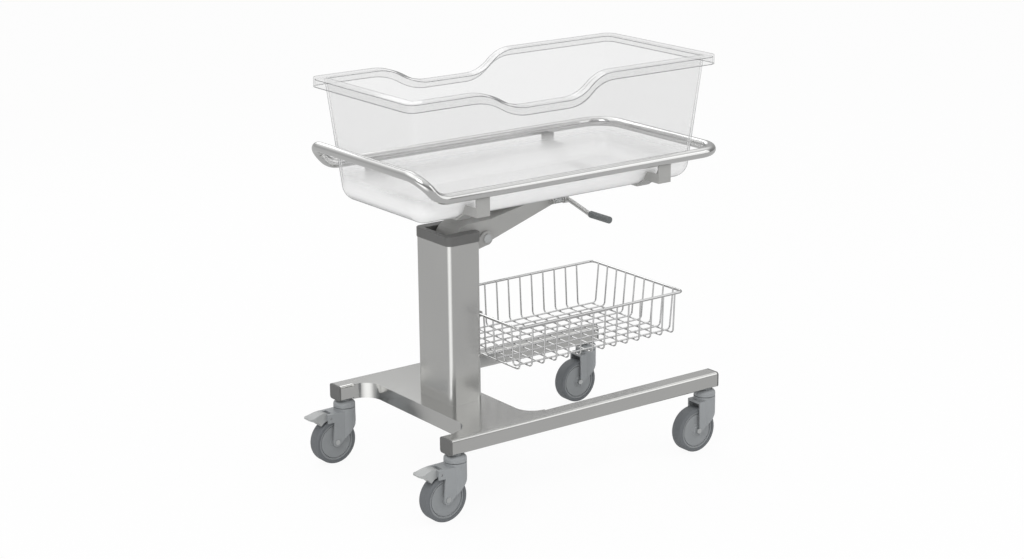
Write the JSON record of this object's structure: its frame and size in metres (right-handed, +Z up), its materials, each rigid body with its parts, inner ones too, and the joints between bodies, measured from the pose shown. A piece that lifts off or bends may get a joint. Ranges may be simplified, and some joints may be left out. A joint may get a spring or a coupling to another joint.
{
  "type": "hospital bassinet",
  "caption": "Wheeled hospital bassinet: clear tub in a tilting tube cradle on a column, with a wire basket and braked casters.",
  "frame": {"origin": "on the floor under the centre of the bounding box", "axes": "+X from the foot end with the push handle to the head end, +Y to the far side from the release lever, +Z up"},
  "size_m": [0.8268, 0.474, 0.874],
  "materials": {
    "satin_steel": "brushed stainless steel",
    "dark_plastic": "moulded dark grey plastic",
    "grey_steel": "satin grey powder coat",
    "polished_tube": "polished stainless tube",
    "clear_plastic": "clear moulded acrylic",
    "chromed_wire": "chromed steel wire",
    "zinc_steel": "bright zinc plated steel",
    "bronze_bush": "sintered bronze",
    "spring_black": "black painted tube",
    "chromed_rod": "hard chromed rod",
    "caster_plastic": "moulded grey plastic",
    "hub_plastic": "moulded grey plastic",
    "tyre_rubber": "grey non-marking rubber",
    "pedal_plastic": "moulded light grey plastic"
  },
  "bodies": {
    "base": {"base_frame": "satin_steel", "bar_end_caps": "dark_plastic", "column_tube": "satin_steel", "column_cap": "dark_plastic", "pivot_ears": "grey_steel", "pivot_pin": "zinc_steel", "spring_seat": "grey_steel", "gas_spring_cylinder": "spring_black", "basket_hangers": "grey_steel", "hanger_screws": "zinc_steel", "stem_nuts": "zinc_steel", "swivel_top_foot_near": "caster_plastic", "swivel_top_foot_far": "caster_plastic", "swivel_top_head_near": "caster_plastic", "swivel_top_head_far": "caster_plastic"},
    "cradle": {"tilt_arm": "grey_steel", "pivot_bushes": "bronze_bush", "cradle_beam": "grey_steel", "cross_member_foot": "grey_steel", "cross_member_head": "grey_steel", "rail_loop": "polished_tube", "push_handle": "polished_tube", "lever_bracket": "grey_steel", "lever_spring": "zinc_steel"},
    "tub": {"tub": "clear_plastic"},
    "spring_rod": {"gas_spring_rod": "chromed_rod", "rod_end": "zinc_steel"},
    "lever": {"release_lever": "polished_tube", "lever_grip": "dark_plastic"},
    "basket": {"basket_rim": "chromed_wire", "basket_near_wires": "chromed_wire", "basket_far_wires": "chromed_wire", "basket_head_wires": "chromed_wire", "basket_foot_wires": "chromed_wire", "basket_floor_wires": "chromed_wire"},
    "caster_foot_near": {"fork_foot_near": "caster_plastic", "axle_foot_near": "zinc_steel"},
    "wheel_foot_near": {"wheel_hub_foot_near": "hub_plastic", "tyre_foot_near": "tyre_rubber", "wheel_bearings_foot_near": "caster_plastic"},
    "brake_foot_near": {"brake_pedal_foot_near": "pedal_plastic"},
    "caster_foot_far": {"fork_foot_far": "caster_plastic", "axle_foot_far": "zinc_steel"},
    "wheel_foot_far": {"wheel_hub_foot_far": "hub_plastic", "tyre_foot_far": "tyre_rubber", "wheel_bearings_foot_far": "caster_plastic"},
    "brake_foot_far": {"brake_pedal_foot_far": "pedal_plastic"},
    "caster_head_near": {"fork_head_near": "caster_plastic", "axle_head_near": "zinc_steel"},
    "wheel_head_near": {"wheel_hub_head_near": "hub_plastic", "tyre_head_near": "tyre_rubber", "wheel_bearings_head_near": "caster_plastic"},
    "caster_head_far": {"fork_head_far": "caster_plastic", "axle_head_far": "zinc_steel"},
    "wheel_head_far": {"wheel_hub_head_far": "hub_plastic", "tyre_head_far": "tyre_rubber", "wheel_bearings_head_far": "caster_plastic"}
  },
  "joints": [
    {"name": "tilt", "type": "hinge", "parent": "base", "child": "cradle", "pos_m": [-0.1091, 0, 0.5215], "axis": [0, -1, 0], "range_deg": [-12, 12]},
    {"name": "gas_spring_stroke", "type": "slide", "parent": "base", "child": "spring_rod", "axis": [0, 0, 1], "range_m": [-0.0134, 0.0134]},
    {"name": "release_lever", "type": "hinge", "parent": "cradle", "child": "lever", "pos_m": [0.0954, -0.048, 0.576], "axis": [-1, 0, 0], "range_deg": [0, 8], "stiffness_Nm_per_rad": 0.5, "springref_deg": -11.46},
    {"name": "tub_lift_off", "type": "slide", "parent": "cradle", "child": "tub", "axis": [0, 0, 1], "range_m": [0, 0.15]},
    {"name": "basket_lift_off", "type": "slide", "parent": "base", "child": "basket", "axis": [0, 0, 1], "range_m": [0, 0.1]},
    {"name": "caster_swivel_foot_near", "type": "hinge", "parent": "base", "child": "caster_foot_near", "pos_m": [-0.3164, -0.213, 0.1], "axis": [0, 0, 1], "continuous": true},
    {"name": "wheel_spin_foot_near", "type": "hinge", "parent": "caster_foot_near", "child": "wheel_foot_near", "pos_m": [-0.3484, -0.213, 0.05], "axis": [0, 1, 0], "continuous": true},
    {"name": "brake_pedal_foot_near", "type": "hinge", "parent": "caster_foot_near", "child": "brake_foot_near", "pos_m": [-0.3634, -0.213, 0.107], "axis": [0, -1, 0], "range_deg": [0, 10]},
    {"name": "caster_swivel_foot_far", "type": "hinge", "parent": "base", "child": "caster_foot_far", "pos_m": [-0.3164, 0.213, 0.1], "axis": [0, 0, 1], "continuous": true},
    {"name": "wheel_spin_foot_far", "type": "hinge", "parent": "caster_foot_far", "child": "wheel_foot_far", "pos_m": [-0.3484, 0.213, 0.05], "axis": [0, 1, 0], "continuous": true},
    {"name": "brake_pedal_foot_far", "type": "hinge", "parent": "caster_foot_far", "child": "brake_foot_far", "pos_m": [-0.3634, 0.213, 0.107], "axis": [0, -1, 0], "range_deg": [0, 10]},
    {"name": "caster_swivel_head_near", "type": "hinge", "parent": "base", "child": "caster_head_near", "pos_m": [0.3552, -0.213, 0.1], "axis": [0, 0, 1], "continuous": true},
    {"name": "wheel_spin_head_near", "type": "hinge", "parent": "caster_head_near", "child": "wheel_head_near", "pos_m": [0.3232, -0.213, 0.05], "axis": [0, 1, 0], "continuous": true},
    {"name": "caster_swivel_head_far", "type": "hinge", "parent": "base", "child": "caster_head_far", "pos_m": [0.3552, 0.213, 0.1], "axis": [0, 0, 1], "continuous": true},
    {"name": "wheel_spin_head_far", "type": "hinge", "parent": "caster_head_far", "child": "wheel_head_far", "pos_m": [0.3232, 0.213, 0.05], "axis": [0, 1, 0], "continuous": true}
  ],
  "couplings": [
    {"joint": "gas_spring_stroke", "follows": "tilt", "m_per_rad": -0.0635}
  ]
}
